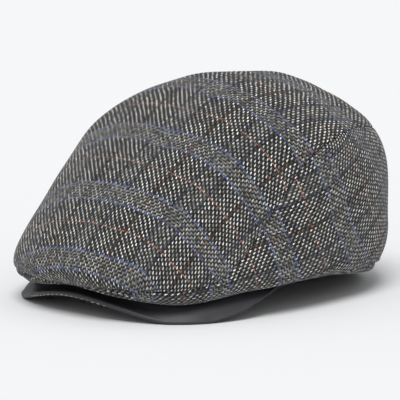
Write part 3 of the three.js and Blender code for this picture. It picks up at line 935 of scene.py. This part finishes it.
# Two over two twill. Across counts warp yarns in pairs of a light and a dark one, along counts weft.
def tweedMaterial(name):
    tree = Material(name)
    plus, minus, times = tree.plus, tree.minus, tree.times
    pattern = tree.add("ShaderNodeUVMap", uv_map="clothPattern").outputs[0]
    yarns = tree.vector("SCALE", {0: pattern, "Scale": check["yarns"] / check["repeat"] / patternScale})
    middle = check["fineYarns"] / 2
    total = tree.vector("ADD", {0: yarns, 1: (middle, middle, 0)})
    for scale, amount in (("wanderScale", "wander"), ("smallScale", "smallWander")):
        total = tree.vector("ADD", {0: total, 1: strayed(tree, yarns, tweed[scale], tweed[amount])})
    split = tree.add("ShaderNodeSeparateXYZ", {0: total})
    across, along = split.outputs[0], split.outputs[1]
    pair = times(tree.wholes(across, 2.0), 2.0)
    row = tree.math("FLOOR", along)
    # a warp float leans as it comes up over its two rows
    floatPlace = tree.rest(plus(along, pair), twillSteps)
    lean = plus(times(yarnPlace(tree, pair)[0], tweed["fineLean"] - tweed["lean"]), tweed["lean"])
    leaning = times(times(minus(floatPlace, 1.0), lean), tree.isBelow(floatPlace, 2.0))
    inPair = minus(minus(across, pair), leaning)
    second = tree.isAbove(inPair, tweed["lightWidth"])
    column = plus(pair, second)
    firstPart = tree.math("DIVIDE", inPair, tweed["lightWidth"])
    secondPart = tree.math("DIVIDE", minus(inPair, tweed["lightWidth"]), 2 - tweed["lightWidth"])
    acrossPart = tree.chosen(second, secondPart, firstPart)
    warpPlace = tree.rest(plus(column, along), twillSteps)
    warpTop = tree.isBelow(tree.rest(plus(column, row), twillSteps), 1.5)
    colour = tree.mix(warpTop, weftColour(tree, row), warpColour(tree, column, yarnPlace(tree, row)[0]))
    # a random number for each float of yarn
    warpFloat = tree.joined(column, tree.wholes(plus(column, along), twillSteps), 3.0)
    weftFloat = tree.joined(tree.wholes(plus(row, across), twillSteps), row, 11.0)
    random = tree.chosen(warpTop, tree.chance(warpFloat), tree.chance(weftFloat))
    # round yarns, high in the middle of a float and low where they dive under; the same height also sets the
    # painted shade in the colour
    arc = tree.math("SINE", times(tree.math("MINIMUM", warpPlace, 2.0), math.pi / 2))
    warpRidge = times(halfWave(tree, acrossPart), plus(times(tree.math("ABSOLUTE", arc), 0.5), 0.5))
    weftRidge = times(halfWave(tree, tree.math("FRACT", along)), tweed["weftRidge"])
    height = tree.chosen(warpTop, warpRidge, weftRidge)
    uneven = plus(times(random, tweed["unevenYarn"]), 1.2 - tweed["unevenYarn"])
    fleckInputs = {"Vector": yarns, "Scale": tweed["fleckScale"], "Detail": 4.0, "Roughness": 0.75}
    fleck = plus(times(tree.add("ShaderNodeTexNoise", fleckInputs).outputs[0], tweed["fleck"]), 0.1)
    # the yarns' own uneven tone and flecks, times painted shade: the colour is darkened where a yarn is low,
    # at its sides, between yarns and where it dives under
    yarnToneAndPaintedShade = times(times(uneven, fleck), plus(times(height, 0.75), 0.3))
    tree.bump(height, tweed["bump"], tweed["bumpDepth"])
    return tree.finished({
        "Base Color": tree.mix(1.0, colour, tree.joined(yarnToneAndPaintedShade, yarnToneAndPaintedShade, yarnToneAndPaintedShade), "MULTIPLY"),
        "Roughness": tweed["roughness"], "Sheen Weight": tweed["sheen"], "Sheen Roughness": 0.5,
        "Specular IOR Level": tweed["gloss"],
    })


leather = {
    "colour": (0.021, 0.021, 0.026, 1), "worn": (0.055, 0.055, 0.059, 1), "wear": 0.25,
    "roughness": 0.46, "grain": 1300.0, "fineGrain": 420.0, "blotches": 60.0,
    "bump": 0.35, "grainDepth": 0.00012,
}


def leatherMaterial():
    tree = Material("peakLeather")
    place = tree.add("ShaderNodeTexCoord").outputs["Object"]
    inputs = {"Vector": place, "Scale": leather["grain"]}
    cells = tree.add("ShaderNodeTexVoronoi", inputs, feature="DISTANCE_TO_EDGE").outputs["Distance"]
    soft = tree.noise(place, leather["fineGrain"], 4.0)[0]
    worn = tree.times(tree.noise(place, leather["blotches"], 3.0)[0], leather["wear"])
    height = tree.plus(tree.times(tree.math("MINIMUM", cells, 0.25), 2.0), tree.times(soft, 0.8))
    tree.bump(height, leather["bump"], leather["grainDepth"])
    return tree.finished({
        "Base Color": tree.mix(worn, leather["colour"], leather["worn"]),
        "Roughness": tree.plus(tree.times(soft, 0.14), leather["roughness"] - 0.06),
    })


def threadMaterial():
    return Material("stitchThread").finished({"Base Color": stitch["colour"], "Roughness": 0.8})


lining = {
    "colour": (0.006, 0.006, 0.007, 1), "raised": (0.02, 0.02, 0.022, 1), "weave": 420.0, "threads": 900.0,
    "roughness": 0.85, "bump": 0.4, "bumpDepth": 0.0002,
}


def liningMaterial():
    tree = Material("peakLiningCloth")
    place = tree.add("ShaderNodeTexCoord").outputs["Object"]
    inputs = {"Vector": place, "Scale": lining["weave"], "Distortion": 1.0}
    weave = tree.add("ShaderNodeTexWave", inputs, bands_direction="DIAGONAL").outputs[1]
    height = tree.plus(weave, tree.times(tree.noise(place, lining["threads"], 2.0)[0], 0.6))
    tree.bump(height, lining["bump"], lining["bumpDepth"])
    # painted shade: the colour follows the weave's height, dark in its hollows and lighter on the raised
    # threads
    return tree.finished({
        "Base Color": tree.mix(tree.times(height, 0.6), lining["colour"], lining["raised"]),
        "Roughness": lining["roughness"],
    })


knit = {
    "colour": (0.006, 0.006, 0.007, 1), "raised": (0.032, 0.032, 0.036, 1),
    "loopWidth": 1.4, "loopHeight": 1.1, "roughness": 0.98, "sheen": 0.2, "bump": 0.8, "bumpDepth": 0.0006,
}


def knitMaterial():
    tree = Material("flapKnit")
    pattern = tree.add("ShaderNodeUVMap", uv_map="clothPattern").outputs[0]
    split = tree.add("ShaderNodeSeparateXYZ", {0: pattern})
    across = tree.math("DIVIDE", split.outputs[0], patternScale * knit["loopWidth"])
    along = tree.math("DIVIDE", split.outputs[1], patternScale * knit["loopHeight"])
    lean = tree.math("ABSOLUTE", tree.minus(tree.math("FRACT", across), 0.5))
    loop = tree.math("ABSOLUTE", tree.math("SINE", tree.times(tree.plus(along, lean), math.pi)))
    height = tree.times(loop, tree.plus(lean, 0.4))
    tree.bump(height, knit["bump"], knit["bumpDepth"])
    # painted shade: the colour follows the loops' height, dark in the hollows between them and lighter on
    # the raised loops
    return tree.finished({
        "Base Color": tree.mix(height, knit["colour"], knit["raised"]),
        "Roughness": knit["roughness"], "Sheen Weight": knit["sheen"],
    })


ground = {"colour": (0.865, 0.870, 0.876, 1), "roughness": 0.9, "reach": 12.0}


def floorMaterial():
    look = {"Base Color": ground["colour"], "Roughness": ground["roughness"], "Specular IOR Level": 0.0}
    return Material("paleFloor").finished(look)


# Studio

camera = {
    "azimuth": 41.92, "elevation": 8.76, "distance": 1400.0,
    "pixelsPerMillimetre": 1.659,  # at the aim, in a picture of 400 by 400 pixels
    "pictureSize": 400, "sensor": 36.0,
    "aim": (0.0, -0.922, 50.0), "aimPixel": (203.33, 206.35),
}


def makeCamera():
    azimuth, elevation = math.radians(camera["azimuth"]), math.radians(camera["elevation"])
    level = math.cos(elevation)
    back = np.array([math.sin(azimuth) * level, -math.cos(azimuth) * level, math.sin(elevation)])
    right = np.array([math.cos(azimuth), math.sin(azimuth), 0])
    up = np.cross(back, right)
    middle = camera["pictureSize"] / 2
    offRight = (camera["aimPixel"][0] - middle) / camera["pixelsPerMillimetre"]
    offDown = (camera["aimPixel"][1] - middle) / camera["pixelsPerMillimetre"]
    aim = np.array(camera["aim"]) - offRight * right + offDown * up
    data = bpy.data.cameras.new("camera")
    data.sensor_width = camera["sensor"]
    pictureShare = camera["pixelsPerMillimetre"] * camera["distance"] / camera["pictureSize"]
    data.lens = pictureShare * camera["sensor"]
    data.clip_end = 100
    view = newObject("camera", data)
    view.location = Vector((aim + back * camera["distance"]) * metre)
    view.rotation_euler = Vector(-back).to_track_quat("-Z", "Y").to_euler()
    bpy.context.scene.camera = view


light = {
    "above": 1.85, "aboveSpread": 30.0, "aboveFrom": (0.3, -0.45, 1.0),
    "front": 0.18, "frontSpread": 60.0, "frontFrom": (0.30, -0.85, 0.7),
    "world": 0.52, "worldColour": (0.985, 0.99, 1, 1),
}


def addSun(name, strength, spread, direction):
    data = bpy.data.lights.new(name, "SUN")
    data.energy = strength
    data.angle = math.radians(spread)
    newObject(name, data).rotation_euler = Vector(direction).to_track_quat("Z", "Y").to_euler()


def makeStudio():
    mesh = bpy.data.meshes.new("floor")
    far = ground["reach"]
    mesh.from_pydata([(-far, -far, 0), (far, -far, 0), (far, far, 0), (-far, far, 0)], [], [(0, 1, 2, 3)])
    mesh.materials.append(floorMaterial())
    floor = newObject("floor", mesh)
    world = bpy.data.worlds.new("studio")
    world.use_nodes = True
    background = world.node_tree.nodes["Background"]
    background.inputs[0].default_value = light["worldColour"]
    background.inputs[1].default_value = light["world"]
    bpy.context.scene.world = world
    addSun("lightAbove", light["above"], light["aboveSpread"], light["aboveFrom"])
    addSun("lightFront", light["front"], light["frontSpread"], light["frontFrom"])
    bpy.context.scene.view_settings.view_transform = "Standard"


makeCamera()
makeStudio()
print("camera, floor and lights are in place")

tweedTopCloth = tweedMaterial("tweedTopCloth")
tweedSideCloth = tweedMaterial("tweedSideCloth")


def finishPiece(piece, material, slot, *nodes):
    piece.data.materials.append(material)
    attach(piece, "root")
    if nodes:
        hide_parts(*nodes)


finishPiece(makeTopPanel(), tweedTopCloth, "tweed_top", "crown_top")
print("top panel is made")
sidePlace = sidePattern()
leftPanel = makeSidePanel("tweedSideLeft", 1, sidePlace)
finishPiece(leftPanel, tweedSideCloth, "tweed_side", "side_panel_left")
rightPanel = makeSidePanel("tweedSideRight", -1, sidePlace)
finishPiece(rightPanel, tweedSideCloth, "tweed_side", "side_panel_right")
print("side panels are made")
finishPiece(makePeakCover(), leatherMaterial(), "peak_leather", "peak_upper")
finishPiece(makePeakLining(), liningMaterial(), "peak_underside", "peak_under")
stitches = makeStitches(threadMaterial())
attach(stitches, "root")
print("peak is made")
finishPiece(makeEarFlap(), knitMaterial(), "flap_knit", "ear_flap")
print("ear flap is made")
